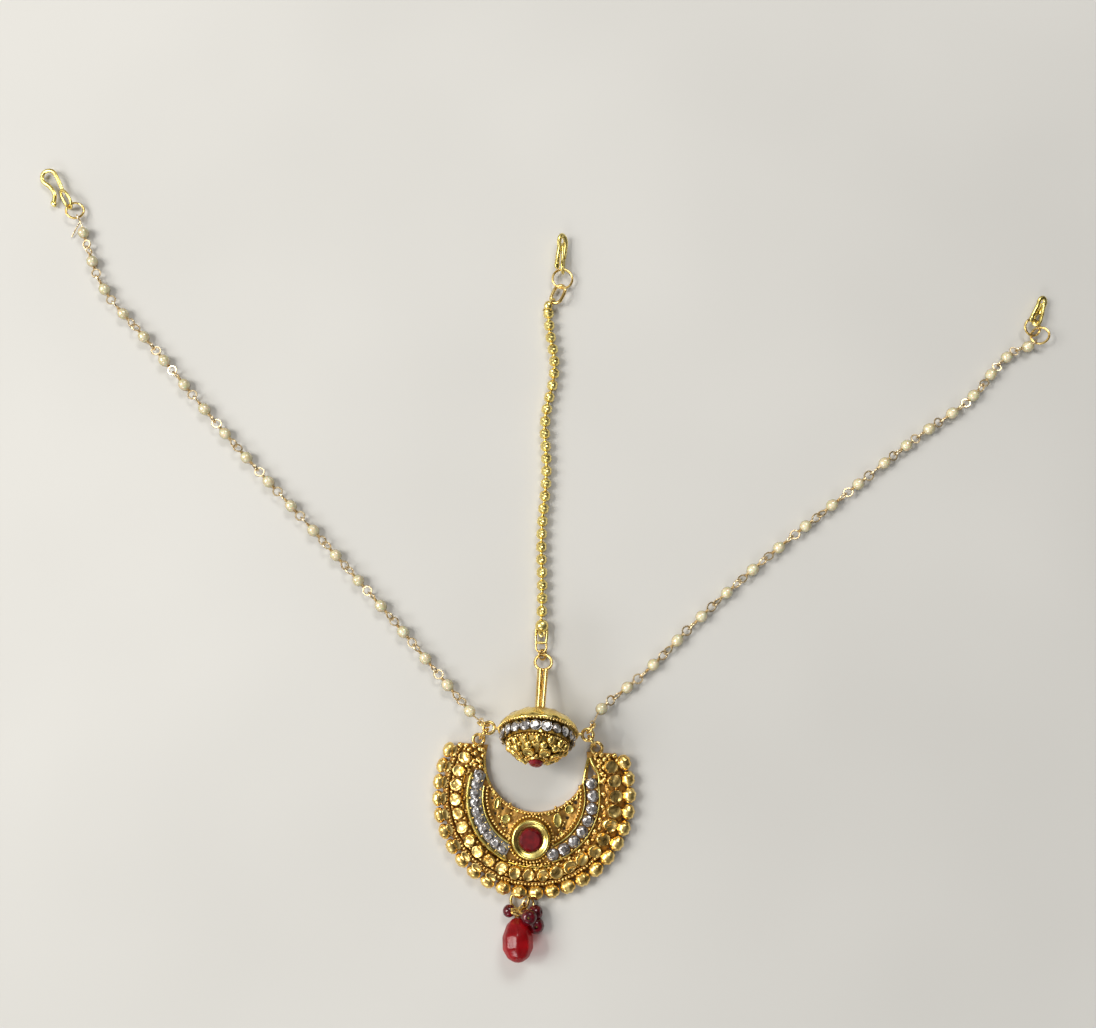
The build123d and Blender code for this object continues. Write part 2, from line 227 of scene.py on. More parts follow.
def sphere(segments, rings, radius, place=(0, 0, 0), scale=(1, 1, 1)):
    bpy.ops.mesh.primitive_uv_sphere_add(segments=segments, ring_count=rings, radius=radius * mm,
                                         location=[c * mm for c in place])
    thing = bpy.context.object
    thing.scale = scale
    return thing


def grain(radius):  # one granule of a milgrain row, a little flattened
    return smooth(settle(sphere(8, 5, radius, scale=(1, 1, 0.9)), "grain"), 80)


def buildLump(radius):  # a larger loose granule
    return smooth(settle(sphere(10, 6, radius, scale=(1, 1, 0.85)), "lump"), 80)


def linked(name, data):
    holder = bpy.data.objects.new(name, data)
    bpy.context.collection.objects.link(holder)
    return holder


def smoothCurve(name, points, unit, resolution, closed=False):  # a smooth line led by its points
    shape = bpy.data.curves.new(name, "CURVE")
    shape.dimensions = "3D"
    shape.resolution_u = resolution
    line = shape.splines.new("NURBS")
    line.points.add(len(points) - 1)
    for point, place in zip(line.points, points):
        point.co = (*(Vector(place) * unit), 1)
    line.order_u = 3
    line.use_endpoint_u = not closed
    line.use_cyclic_u = closed
    return linked(name, shape)


def tube(name, points, thick, sides=8, closed=False, flatten=1.0):  # a wire along a smooth line
    holder = smoothCurve(name, points, mm, 6, closed)
    holder.data.bevel_depth = thick * mm
    holder.data.bevel_resolution = max(0, sides // 2 - 2)
    holder.data.use_fill_caps = True
    pick(holder)
    bpy.ops.object.convert(target="MESH")
    return smooth(closeUp(moved(bpy.context.object, stretch(1, 1, flatten))), 60)


def ovalLink(name, start, end, roll, radius, wire):  # a long link round two points
    start, end = Vector(start), Vector(end)
    run = (end - start).normalized()
    across = run.cross(tipped(run, roll))
    points = []
    for centre, half in ((end, 0), (start, 180)):
        for a in range(-90, 91, 30):
            swing = radians(a + half)
            points.append(centre + (run * cos(swing) + across * sin(swing)) * radius)
    return tube(name, points, wire, 10, closed=True)


def linear(hexText):
    parts = [int(hexText[i:i + 2], 16) / 255 for i in (1, 3, 5)]
    return (*[p / 12.92 if p <= 0.04045 else ((p + 0.055) / 1.055) ** 2.4 for p in parts], 1)


def plug(tree, node, links):  # where a node is given as the source, its first output is meant
    for socket, source in links.items():
        tree.links.new(getattr(source, "outputs", [source])[0], node.inputs[socket])


def addNode(tree, kind, values=None, links=None, stops=None, **settings):
    node = tree.nodes.new("ShaderNode" + kind)
    for key, value in settings.items():
        setattr(node, key, value)
    for socket, value in (values or {}).items():
        node.inputs[socket].default_value = value
    plug(tree, node, links or {})
    if stops:
        ends = node.color_ramp.elements
        ends[0].position, ends[1].position = stops[0][0], stops[-1][0]
        ends[0].color, ends[1].color = linear(stops[0][1]), linear(stops[-1][1])
        for place, hexText in stops[1:-1]:
            ends.new(place).color = linear(hexText)
    return node


def newMaterial(name, **shaderValues):  # gives the tree, its shader and its place coordinates too
    material = bpy.data.materials.new(name)
    material.use_nodes = True
    tree = material.node_tree
    tree.nodes.clear()
    shader = addNode(tree, "BsdfPrincipled",
                     values={key.replace("_", " "): value for key, value in shaderValues.items()})
    addNode(tree, "OutputMaterial", links={"Surface": shader})
    return material, tree, shader, addNode(tree, "TexCoord").outputs["Object"]


def perMm(size):  # noise scale for marks of so many millimetres, on coordinates in metres
    return 1 / (size * mm)


def patchy(tree, place, size, detail, stops, low, high):
    # soft marks of so many millimetres, the colour they give and the roughness between two values
    marks = addNode(tree, "TexNoise", values={"Scale": perMm(size), "Detail": detail},
                    links={"Vector": place})
    tint = addNode(tree, "ValToRGB", links={"Fac": marks}, stops=stops)
    gloss = addNode(tree, "MapRange", values={"To Min": low, "To Max": high}, links={"Value": marks})
    return marks, tint, gloss


def goldFinish(name, bright, deep, patinaAndShadeColour, reach, rough, wearSize, dent, dentSize, patinaAndShadeShare):
    # plated brass: full metal, colour deepens in the recesses that occlusion finds: patina there, and painted
    # shade too
    material, tree, shader, place = newMaterial(name, Metallic=1.0)
    wear = addNode(tree, "TexNoise", values={"Scale": perMm(wearSize), "Detail": 4.0, "Roughness": 0.6},
                   links={"Vector": place})
    tint = addNode(tree, "ValToRGB", links={"Fac": wear},
                   stops=[(0.3, deep), (0.62, bright)])
    # painted shade: ambient occlusion pulls the colour towards the patina-and-shade colour in recesses
    recess = addNode(tree, "AmbientOcclusion", samples=8, values={"Distance": reach * mm})
    patinaAndShadeMask = addNode(tree, "MapRange", values={"From Min": 0.25, "From Max": 0.85, "To Min": patinaAndShadeShare,
                                                       "To Max": 0.0}, links={"Value": recess.outputs["AO"]})
    colour = addNode(tree, "Mix", data_type="RGBA", values={7: linear(patinaAndShadeColour)},
                     links={0: patinaAndShadeMask, 6: tint})
    polish = addNode(tree, "MapRange", values={"From Min": 0.3, "From Max": 0.7, "To Min": rough * 0.7,
                                                         "To Max": rough * 1.5}, links={"Value": wear})
    dull = addNode(tree, "Math", operation="MULTIPLY_ADD", values={1: 0.35},
                   links={0: patinaAndShadeMask, 2: polish})
    knocks = addNode(tree, "TexNoise", values={"Scale": perMm(dentSize), "Detail": 3.0},
                     links={"Vector": place})
    bump = addNode(tree, "Bump", values={"Strength": dent, "Distance": 0.15 * mm},
                   links={"Height": knocks})
    plug(tree, shader, {"Base Color": colour.outputs[2], "Roughness": dull,
                        "Normal": bump})
    return material


def glassFinish(name, pale, dark, rough, through, marbleSize, coat, lets=0.0, letsTint="#FFFFFF"):
    # pressed or cut glass: clear depth, with soft clouds of a second tone
    material, tree, shader, place = newMaterial(name, IOR=1.52, Coat_Weight=coat, Coat_Roughness=0.03,
                                                Transmission_Weight=through)
    tint, gloss = patchy(tree, place, marbleSize, 2.0, [(0.35, dark), (0.68, pale)],
                         rough * 0.6, rough * 1.6)[1:]
    plug(tree, shader, {"Base Color": tint, "Roughness": gloss})
    if lets:  # a share of the light goes straight through, so the shadow is tinted too
        clear = addNode(tree, "BsdfTransparent", values={"Color": linear(letsTint)})
        blend = addNode(tree, "MixShader", values={0: lets},
                        links={1: shader, 2: clear})
        output = next(node for node in tree.nodes if node.type == "OUTPUT_MATERIAL")
        plug(tree, output, {"Surface": blend})
    return material


# Cast and plated brass, antiqued: bright worn tops, brown patina and painted shade in every recess
antiqueGold = goldFinish("AntiquedGoldPlate", "#FFE292", "#F0BF62", "#7E4A1C",
                         0.85, 0.26, 2.2, 0.2, 0.9, 0.75)
# Flat ground behind the ornament: rubbed less, so browner and duller, with a larger share of painted shade in
# its recesses
groundGold = goldFinish("GroundGoldPlate", "#E2B262", "#B98642", "#522A10", 1.2, 0.3, 1.6, 0.35, 0.7, 0.9)
# The boss's worked dome: the same plate with much more patina and painted shade left in its hollows
darkenedGold = goldFinish("PatinaAndShadeGoldPlate", "#FADE84", "#D2A24A", "#42200A", 1.4, 0.2, 2.0, 0.2, 1.2, 1.0)
# The cap over it: hammered plate, pitted and patchy
hammeredGold = goldFinish("HammeredGoldPlate", "#FBE48C", "#E0B654", "#5A300C", 1.2, 0.22, 1.5, 0.3, 1.8, 0.9)
# Burnished plate on the bezel, walls and panel leaves: smooth, a little green beside the cast parts
burnishedGold = goldFinish("BurnishedGoldPlate", "#FBE98C", "#E6C864", "#7A4A18",
                           0.7, 0.22, 3.0, 0.12, 1.5, 0.5)
# Diamond-cut plated balls: pale bright facets, brown patina and painted shade only at the collars
cutGold = goldFinish("DiamondCutGold", "#FCEB98", "#EFCF78", "#946424", 0.8, 0.26, 1.6, 0.12, 0.7, 0.6)
# Drawn wire of rings, links, eyes and the stem: bright, with fine draw marks
drawnGold = goldFinish("DrawnGoldWire", "#F4D88C", "#DDB466", "#80522A", 0.7, 0.24, 2.0, 0.14, 0.7, 0.5)
# Thicker drawn wire of the hooks: paler, lemon yellow
paleGold = goldFinish("PaleGoldWire", "#F8E794", "#E2C565", "#8E7024", 0.6, 0.24, 2.2, 0.12, 0.8, 0.35)
# Copper-rich thin wire of the pearl strings: pale and pinkish
roseWire = goldFinish("RoseGoldThinWire", "#EEDCB4", "#D6B88A", "#9A7850", 0.5, 0.28, 1.0, 0.15, 0.3, 0.4)


def pearlFinish():  # plastic core under pearl-essence lacquer: cream, with painted shade making it darker and greener towards the edge
    material, tree, shader, place = newMaterial(
        "PearlLacquer", IOR=1.53, Coat_Weight=1.0, Coat_Roughness=0.1, Coat_IOR=1.7,
        Subsurface_Weight=0.25, Subsurface_Scale=0.6 * mm)
    cloud, body, gloss = patchy(tree, place, 1.4, 3.0, [(0.3, "#DCD0A2"), (0.7, "#F1EACB")], 0.16, 0.34)
    # painted shade: the colour turns olive where the surface turns away from view
    paintedEdgeShade = addNode(tree, "LayerWeight", values={"Blend": 0.55})
    colour = addNode(tree, "Mix", data_type="RGBA", values={7: linear("#8C7830")},
                     links={0: paintedEdgeShade.outputs["Facing"], 6: body})
    skin = addNode(tree, "Bump", values={"Strength": 0.12, "Distance": 0.05 * mm},
                   links={"Height": cloud})
    plug(tree, shader, {"Base Color": colour.outputs[2], "Roughness": gloss,
                        "Normal": skin})
    return material


pearlLacquer = pearlFinish()
# Centre ruby: deep red cut glass
rubyGlass = glassFinish("RubyCutGlass", "#8C0D16", "#5C080E", 0.07, 0.25, 2.0, coat=0.15)
# Boss ruby: the same glass, foiled close behind, so no gold shows through
foiledRubyGlass = glassFinish("FoiledRubyGlass", "#960E1C", "#5E0812", 0.1, 0.0, 1.5, coat=0.15)
# Drop: clear red glass with milky streaks
dropGlass = glassFinish("RedDropGlass", "#B6161F", "#800A12", 0.18, 0.3, 3.5, coat=0.0, lets=0.38,
                        letsTint="#F87880")
# Small round beads: almost black red glass
garnetGlass = glassFinish("GarnetGlass", "#6E0E1E", "#400812", 0.06, 0.0, 1.2, coat=0.0)


def foilFinish():  # silvered foil behind the clear stones, tarnished in patches
    material, tree, shader, place = newMaterial("SilverFoil", Metallic=1.0)
    tone, dull = patchy(tree, place, 0.8, 3.0, [(0.36, "#8E8C8A"), (0.5, "#D2D3D6"), (0.7, "#F6F6F8")],
                        0.2, 0.5)[1:]
    plug(tree, shader, {"Base Color": tone, "Roughness": dull})
    return material


silverFoil = foilFinish()


def rhinestoneFinish():  # clear cut glass silvered right behind: facets flash or go grey, and random lighter and greyer cells add painted glints
    material, tree, shader, place = newMaterial("FoiledRhinestone", Metallic=0.85, Coat_Weight=1.0,
                                                Coat_Roughness=0.03, Coat_IOR=1.52)
    glintCells = addNode(tree, "TexVoronoi", values={"Scale": perMm(0.75)}, links={"Vector": place})
    # painted glints: random cells from near white to grey stand in for facets catching or missing the light
    tone = addNode(tree, "ValToRGB", links={"Fac": glintCells.outputs["Color"]},
                   stops=[(0.2, "#7A7370"), (0.5, "#ADA9A7"), (0.85, "#E8E6E6")])
    haze = addNode(tree, "MapRange", values={"To Min": 0.12, "To Max": 0.4},
                   links={"Value": glintCells})
    slant = addNode(tree, "Bump", values={"Strength": 0.35, "Distance": 0.2 * mm},
                    links={"Height": glintCells})
    plug(tree, shader, {"Base Color": tone, "Roughness": haze,
                        "Normal": slant})
    return material


rhinestone = rhinestoneFinish()


def dress(piece, material, slot="antique_gold", *cadNodes):
    piece.data.materials.clear()
    piece.data.materials.append(material)
    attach(piece, "root")
    if cadNodes:
        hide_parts(*cadNodes)
    return piece


def dressCad(node, material):  # a CAD piece whose shape is right only gets its finish
    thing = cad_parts[node]
    if not thing.material_slots:
        thing.data.materials.append(material)
    for slot in thing.material_slots:
        slot.material = material


print("materials ready")


view = {"place": (2.01, 38.63, 316.0), "tilt": 9.5, "roll": 4.0, "lens": 36.13, "sensor": 36.0}
camera = linked("camera", bpy.data.cameras.new("camera"))
camera.location = Vector(view["place"]) * mm
camera.rotation_euler = (radians(view["tilt"]), 0, radians(view["roll"]))
camera.data.lens = view["lens"]
camera.data.sensor_width = view["sensor"]
camera.data.sensor_fit = "HORIZONTAL"
camera.data.clip_start = 0.01
bpy.context.scene.camera = camera

floorSize = {"width": 2400.0, "drop": 0.03}
lampAim = (0, 0.06, 0)  # the middle of the whole piece, in metres
bpy.ops.object.select_all(action="DESELECT")
bpy.ops.mesh.primitive_plane_add(size=floorSize["width"] * mm,
                                 location=(0, lampAim[1], -floorSize["drop"] * mm))
floor = settle(bpy.context.object, "floor")
floorPaint, floorTree, floorShader, floorPlace = newMaterial("PaleMattePaper", Roughness=0.85)
floorCloud = addNode(floorTree, "TexNoise", values={"Scale": perMm(120), "Detail": 2.0},
                     links={"Vector": floorPlace})
floorTint = addNode(floorTree, "ValToRGB", links={"Fac": floorCloud},
                    stops=[(0.3, "#CBCAC6"), (0.7, "#D3D2CE")])
plug(floorTree, floorShader, {"Base Color": floorTint})
floor.data.materials.append(floorPaint)


def lamp(name, place, size, power, colour):
    light = bpy.data.lights.new(name, "AREA")
    light.shape = "RECTANGLE"
    light.size, light.size_y = size[0] * mm, size[1] * mm
    light.energy = power
    light.color = linear(colour)[:3]
    holder = linked(name, light)
    holder.location = Vector(place) * mm
    holder.rotation_euler = (holder.location - Vector(lampAim)).to_track_quat("Z", "Y").to_euler()


lamp("windowLamp", (-800, 40, 720), (600, 520), 8.0, "#FFFCF7")
lamp("tubeLamp", (-540, 150, 720), (160, 30), 1.1, "#FFFDF8")
lamp("ceilingLamp", (160, 760, 760), (420, 260), 3.8, "#FFFDFA")
lamp("frontLamp", (-300, -760, 520), (400, 160), 1.8, "#FFFFFF")

world = bpy.data.worlds.new("studio")
bpy.context.scene.world = world
world.use_nodes = True
worldTree = world.node_tree
worldTree.nodes.clear()
sky = addNode(worldTree, "TexCoord").outputs["Generated"]
skyAxes = addNode(worldTree, "SeparateXYZ", links={"Vector": sky})
skySide = addNode(worldTree, "MapRange", values={"From Min": -1.0, "From Max": 0.9, "To Min": 1.25,
                                                           "To Max": 0.22}, links={"Value": skyAxes})
skyCloud = addNode(worldTree, "TexNoise", values={"Scale": 2.2, "Detail": 1.0}, links={"Vector": sky})
skyTone = addNode(worldTree, "ValToRGB", links={"Fac": skyCloud},
                  stops=[(0.38, "#57524C"), (0.5, "#BDBAB5"), (0.6, "#FFFFFF")])
skyLevel = addNode(worldTree, "Math", operation="MULTIPLY", values={1: 0.58},
                   links={0: skySide})
skyShade = addNode(worldTree, "Background", links={"Color": skyTone,
                                                             "Strength": skyLevel})
addNode(worldTree, "OutputWorld", links={"Surface": skyShade})
bpy.context.scene.view_settings.view_transform = "Standard"
print("camera, floor and light ready")


crescent = {
    "rim": (0, 12.3), "rimRadius": 25.4, "mouth": (0, 21.4), "mouthRadius": 14.2,
    "hornTop": 24.6, "plate": 1.2,
    "beads": 24, "beadRadius": 1.92, "beadCircle": 26.5, "beadPitch": 9.79,
    "petals": 23, "petalCircle": 21.75, "petalPitch": 10.26,
    "grainCircle": 24.2, "grain": 0.42, "grainPitch": 0.95,
    "channel": (0, 11.5), "bezelGrains": 6.15, "beadHeight": 1.96, "petalHeight": 2.35, "footedBefore": -108,
}
rim, mouth, channel = crescent["rim"], crescent["mouth"], crescent["channel"]


def cutWith(body, cutter):
    modified(body, "BOOLEAN", operation="DIFFERENCE", object=cutter, solver="EXACT")
    bpy.data.objects.remove(cutter)
    return body


def drum(centre, radius, low, high, sides=128):
    bpy.ops.mesh.primitive_cylinder_add(vertices=sides, radius=radius * mm, depth=(high - low) * mm,
                                        location=(centre[0] * mm, centre[1] * mm, (low + high) / 2 * mm))
    return settle(bpy.context.object, "drum")


def buildPlate():
    plate = drum(rim, crescent["rimRadius"], 0, crescent["plate"], 160)
    editAll(plate)
    bpy.ops.mesh.bisect(plane_co=(0, crescent["hornTop"] * mm, 0), plane_no=(0, 1, 0), use_fill=True,
                        clear_outer=True)
    doneEditing()
    cutWith(plate, drum(mouth, crescent["mouthRadius"], -3, 6))
    openings = [drum((x, y), radius, -2, 5, 10) for x, y, radius in (
        (-11.5, 10.2, 0.4), (-8.6, 10.2, 0.5), (-8.4, 7.6, 0.4), (-10.3, 6.1, 0.4), (-5.6, 7.5, 0.4),
        (-8.9, 3.3, 0.35), (-6.9, 2.5, 0.3), (-12.4, 12.6, 0.35),
        (11.7, 10.6, 0.5), (8.2, 9.8, 0.5), (9.7, 6.3, 0.45), (5.4, 8.3, 0.45), (9.0, 3.4, 0.4),
        (7.4, 1.6, 0.3), (12.9, 13.3, 0.35))]
    cutWith(plate, joined("openings", openings))
    slit = drum((0, 0), 1, -2, 5, 3)  # see-through corner between the two right rails
    corners = sorted(slit.data.vertices, key=lambda v: (round(v.co.z, 4), atan2(v.co.y, v.co.x)))
    for i, vertex in enumerate(corners):
        x, y = ((14.6, 17.3), (16.9, 18.5), (14.75, 21.5))[i % 3]
        vertex.co.x, vertex.co.y = x * mm, y * mm
    cutWith(plate, slit)
    modified(plate, "BEVEL", width=0.15 * mm, segments=2, limit_method="ANGLE", angle_limit=radians(50))
    return smooth(plate, 35)


dress(settle(buildPlate(), "crescentPlate"), groundGold, "antique_gold", "crescent")
print("crescent plate ready")


def buildPetal():  # a dished petal with a raised lip
    bpy.ops.mesh.primitive_cylinder_add(vertices=16, radius=mm, depth=1.0 * mm)
    petal = bpy.context.object
    editFaces(petal, lambda c, n: n.z > 0.9)
    bpy.ops.transform.resize(value=(0.92, 0.92, 1))
    inset((0.12, 0.05), (0.12, -0.05), (0.3, -0.13))
    modified(petal, "SUBSURF", levels=1, render_levels=1)
    return smooth(petal, 60)


def buildBead(footed):  # a bead ribbed across; the left ones stand behind a dished oval foot
    bead = sphere(18, 13, crescent["beadRadius"] * (0.86 if footed else 1))
    waist = 0.93 if footed else 0.88
    rings = sorted({round(v.co.z / mm, 3) for v in bead.data.vertices})
    for vertex in bead.data.vertices:
        level = rings.index(min(rings, key=lambda r: abs(r - vertex.co.z / mm)))
        if level % 3 == 1:
            vertex.co.x *= waist
            vertex.co.y *= waist
    bead.data.transform(stretch(1, 1, 1.32 if footed else 1.16))
    bead.data.transform(turn(90, "X"))
    if footed:
        bead.data.transform(move(0.22, 0, 0))
        foot = moved(buildPetal(), move(-1.15, 0, 0.25) @ turn(-20, "Y") @ stretch(1.05, 1.9, 1.5))
    else:
        bead.data.transform(move(-0.1, 0, 0) @ stretch(1.05, 1, 1))
        foot = sphere(14, 8, 1, (-0.9, 0, -0.7), (1.2, 1.5, 0.6))
    return joined("bead", [smooth(bead, 60), smooth(foot, 60)])


beadAngles = fan(crescent["beads"], crescent["beadPitch"])
for name, hasFoot in (("rimBeadsLeft", True), ("rimBeadsRight", False)):
    beadPlaces = [onArc(rim, crescent["beadCircle"], a, crescent["beadHeight"]) @ sway(12, "X") @ sway(6)
                  for a in beadAngles if (a < crescent["footedBefore"]) == hasFoot]
    dress(repeated(name, buildBead(hasFoot), beadPlaces), antiqueGold)


petalPlaces, fillerPlaces = [], []
for a in fan(crescent["petals"], crescent["petalPitch"]):
    right = cos(radians(a)) > 0.2
    beside = cos(radians(a)) > 0.72  # up the right side no milgrain row stands in the way
    outwards, long = (0.75, 2.35) if beside else (-0.2, 2.0)
    petalPlaces.append(onArc(rim, crescent["petalCircle"] + outwards, a, crescent["petalHeight"])
                       @ sway(8) @ turn(random.uniform(8, 26), "Y") @ sway(8, "X")
                       @ stretch(long, 2.12 if right else 1.85, 1.9))
for a in fan(crescent["petals"] + 1, crescent["petalPitch"]):  # granules between the petals and below them
    for radius, shift, z, size in ((22.9, 0, 1.95, (0.8, 0.8, 0.8)), (20.4, 0, 2.0, (0.9, 0.9, 0.9)),
                                   (19.5, 5.1, 1.9, (0.8, 1.2, 0.9))):
        fillerPlaces.append(onArc(rim, radius, a + shift, z) @ stretch(*size))

castRelief = bpy.data.textures.new("castRelief", "CLOUDS")
castRelief.noise_scale = 2.0 * mm
castRelief.noise_depth = 0


def roughCast(piece, depth):  # uneven relief left by casting and wear
    modified(piece, "SUBSURF", levels=1, render_levels=1, subdivision_type="SIMPLE")
    return smooth(modified(piece, "DISPLACE", texture=castRelief, strength=depth * mm, mid_level=0.5,
                           texture_coords="LOCAL"), 60)


dress(roughCast(repeated("rimPetals", buildPetal(), petalPlaces), 0.8), antiqueGold)

# Raised bands under the petals and the grain rows
bands = [
    spun("petalBed", wallProfile(19.9, 23.4, 1.0, 1.75, 0.25), -90 - 114, 228, 96, rim),
    spun("grainBed", wallProfile(23.6, 24.75, 1.0, 1.9, 0.2), -90 - 117, 167, 72, rim),
    spun("innerGrainBedLeft", wallProfile(12.6, 13.95, 0.2, 1.75, 0.2), 172, 72, 48, channel),
    spun("innerGrainBedRight", wallProfile(12.6, 13.95, 0.2, 1.75, 0.2), 17, -81, 48, channel),
    spun("mouthBed", wallProfile(14.2, 15.1, 0.2, 1.6, 0.2), 174, 170, 72, mouth),
    spun("bezelBed", wallProfile(5.2, 6.6, 0.2, 1.6, 0.2), 0, 359.9, 72),
]
dress(joined("crescentBands", bands), groundGold)

grainRows = [
    (rim, crescent["grainCircle"], 2.2, -90 - 118, -90 + 50),
    (channel, 13.05, 2.05, 173, 243), (channel, 13.05, 2.05, 16, -63),
    (mouth, 14.65, 1.8, 213, 329),
    ((0, 0), crescent["bezelGrains"], 1.8, 0, 352),
    (channel, 18.35, 1.8, -90 - 17, -90 + 17), (channel, 19.55, 1.8, -90 - 16, -90 + 16),
]
grainPlaces = []
for centre, radius, z, start, end in grainRows:
    grainPlaces += arcPlaces(centre, radius, z, start, end, crescent["grainPitch"])
dress(repeated("milgrain", grain(crescent["grain"]), grainPlaces), antiqueGold)


hornLumps = [
    (-16.9, 18.9, 2.3), (-15.4, 18.6, 2.1), (-15.7, 20.0, 2.2), (-17.4, 20.0, 2.3), (-14.9, 21.6, 1.9),
    (-15.3, 23.2, 1.9), (-18.0, 19.2, 2.1), (-19.2, 18.4, 2.0), (-18.6, 17.2, 2.0), (18.5, 18.9, 2.1),
    (19.2, 17.4, 2.0), (17.4, 21.0, 2.1), (-20.6, 21.4, 2.1), (-18.9, 22.9, 2.2), (-17.1, 22.2, 2.1),
    (-19.9, 24.0, 1.9), (-17.6, 24.1, 2.0), (-16.3, 20.4, 2.1), (-18.6, 20.7, 2.3), (-16.0, 23.4, 1.9),
    (-22.5, 22.8, 1.9), (-21.6, 24.1, 1.8), (20.6, 21.4, 2.1), (18.9, 22.9, 2.2), (17.4, 22.4, 2.1),
    (19.9, 24.0, 1.9), (17.9, 24.1, 2.0), (18.9, 20.7, 2.3), (22.5, 22.8, 1.9), (21.6, 24.1, 1.8),
    (16.4, 24.0, 1.9),
]
fillerPlaces += [move(x, y, z) @ stretch(1.35, 1.35, 1.2) for x, y, z in hornLumps]
dress(repeated("granules", buildLump(0.56), fillerPlaces), antiqueGold)

leaves = [  # place, half length, half width, turn
    ((-10.2, 8.9, 1.9), 1.9, 0.75, 84), ((-7.3, 5.0, 1.9), 1.45, 1.4, 20), ((7.0, 5.6, 1.9), 2.2, 1.35, 98),
    ((10.0, 8.7, 1.9), 1.45, 1.35, 40), ((-11.3, 11.9, 1.6), 0.8, 0.45, 95),
    ((11.7, 12.1, 1.6), 0.85, 0.5, 80),
    ((-9.3, 9.4, 1.5), 1.6, 0.4, 84), ((8.2, 2.0, 1.6), 0.8, 0.55, 110), ((-4.6, 7.2, 1.5), 0.5, 0.45, 0),
    ((4.3, 7.0, 1.5), 0.5, 0.45, 0),
]
smallLumps = [
    (-9.2, 5.4), (-8.6, 4.1), (-7.8, 2.9), (-7.3, 1.7), (-6.6, 0.6), (-5.9, 6.4), (-7.6, 8.9), (-6.4, 9.0),
    (8.6, 4.4), (9.0, 5.2), (7.0, 8.0), (6.2, 8.9), (10.6, 10.4), (9.2, 10.6), (7.6, 3.0), (6.9, 0.9),
]
leafPlaces = [move(*place) @ turn(angle) @ stretch(long, wide, 1.2) for place, long, wide, angle in leaves]
dress(repeated("panelLeaves", buildPetal(), leafPlaces), burnishedGold)
dress(repeated("panelGrains", buildLump(0.42), [move(x, y, 1.45) for x, y in smallLumps]), antiqueGold)
print("crescent ornament ready")

# Polished walls of the stone channel and wires along the mouth
walls = [
    spun("outerWallLeft", wallProfile(17.85, 18.9, 1.0, 3.1, 0.4), 163, 86, 48, channel),
    spun("outerWallRight", wallProfile(17.95, 18.45, 1.0, 2.9, 0.25), 16, -86, 48, channel),
    spun("innerWallLeft", wallProfile(13.85, 14.45, 1.0, 2.8, 0.3), 172, 72, 48, channel),
    spun("innerWallRight", wallProfile(13.95, 14.4, 1.0, 2.75, 0.22), 20, -84, 48, channel),
    spun("lowerWire", roundWire(18.95, 1.95, 0.22), -90 - 18, 36, 24, channel),
    spun("mouthWireLeft", roundWire(14.6, 1.6, 0.32), 174, 38, 32, mouth),
    tube("rightRailIn", [(13.45, 16.0, 2.5), (13.65, 18.0, 2.5), (13.9, 20.2, 2.4), (14.4, 22.9, 2.0)], 0.42),
    tube("rightRailOut", [(15.0, 23.0, 2.0), (15.6, 21.4, 2.3), (16.9, 19.8, 2.4), (17.8, 18.2, 2.4),
                          (17.9, 16.2, 2.4)], 0.4),
]
dress(joined("channelWalls", walls), burnishedGold)

bezelProfile = [(5.3, 1.0), (5.33, 3.4), (5.25, 3.85), (5.0, 4.12), (4.7, 4.18), (4.45, 4.05), (4.1, 3.78),
                (3.75, 3.6), (3.5, 3.56), (3.38, 3.48), (3.36, 2.2), (0.0, 2.2), (0.0, 1.0)]
dress(smooth(settle(spun("bezel", bezelProfile, steps=96), "bezel"), 50), burnishedGold)

eyes = [spun("hornEye", roundWire(1.5, 1.5, 0.46), centre=(side * 16.6, 25.8), steps=32) for side in (-1, 1)]
eyes.append(spun("dropLoop", roundWire(2.45, 1.3, 0.38), centre=(-1.9, -16.4), steps=48))
dress(smooth(joined("hornEyesAndLoop", eyes), 60), drawnGold, "gold_wire")
print("channel, bezel and eyes ready")


stones = {  # left and right: how many, and the first and last angle
    "circle": 16.3, "girdle": 2.9, "radius": {"left": 1.34, "right": 1.5},
    "left": (10, 163.0, 242.5), "right": (8, 376.5, 292.5),
}


def brilliant(name, girdle, table, crown, pavilion, sides):  # a round cut stone, table up, girdle at zero
    bpy.ops.mesh.primitive_circle_add(vertices=sides, radius=girdle * table * mm, fill_type="NGON",
                                      location=(0, 0, crown * mm))
    stone = settle(bpy.context.object, name)
    editAll(stone)
    middle = 0.5 + table / 2
    for drop, wide in ((crown * 0.5, middle * 1.06 / table), (crown * 0.5, 1 / (middle * 1.06)),
                       (0.08 * girdle, 1), (pavilion, 0.16)):
        bpy.ops.mesh.extrude_region_move(TRANSFORM_OT_translate={"value": (0, 0, -drop * mm)})
        bpy.ops.transform.resize(value=(wide, wide, 1))
        if wide > 1:
            bpy.ops.transform.rotate(value=pi / sides, orient_axis="Z", center_override=(0, 0, 0))
    bpy.ops.mesh.select_all(action="SELECT")
    bpy.ops.mesh.quads_convert_to_tris(quad_method="SHORTEST_DIAGONAL")
    doneEditing()
    return flat(closeUp(stone))


def foilCup(girdle, pavilion, sides):  # the silvered cone under a stone
    bpy.ops.mesh.primitive_cone_add(vertices=sides, radius1=0.2 * girdle * mm, radius2=1.1 * girdle * mm,
                                    depth=pavilion * mm,
                                    location=(0, 0, -(pavilion / 2 + 0.14 * girdle) * mm))
    cup = bpy.context.object
    editFaces(cup, lambda c, n: n.z > 0.9)
    inset((0.08, 0), (0.7 * girdle, -0.7 * pavilion))
    return flat(settle(cup, "foilCup"))


def stonePlaces(count, first, last):
    return [onArc(channel, stones["circle"], a, stones["girdle"]) @ turn(random.uniform(0, 45))
            @ sway(5, "X") @ sway(5, "Y") for a in spread(first, last, count - 1)]


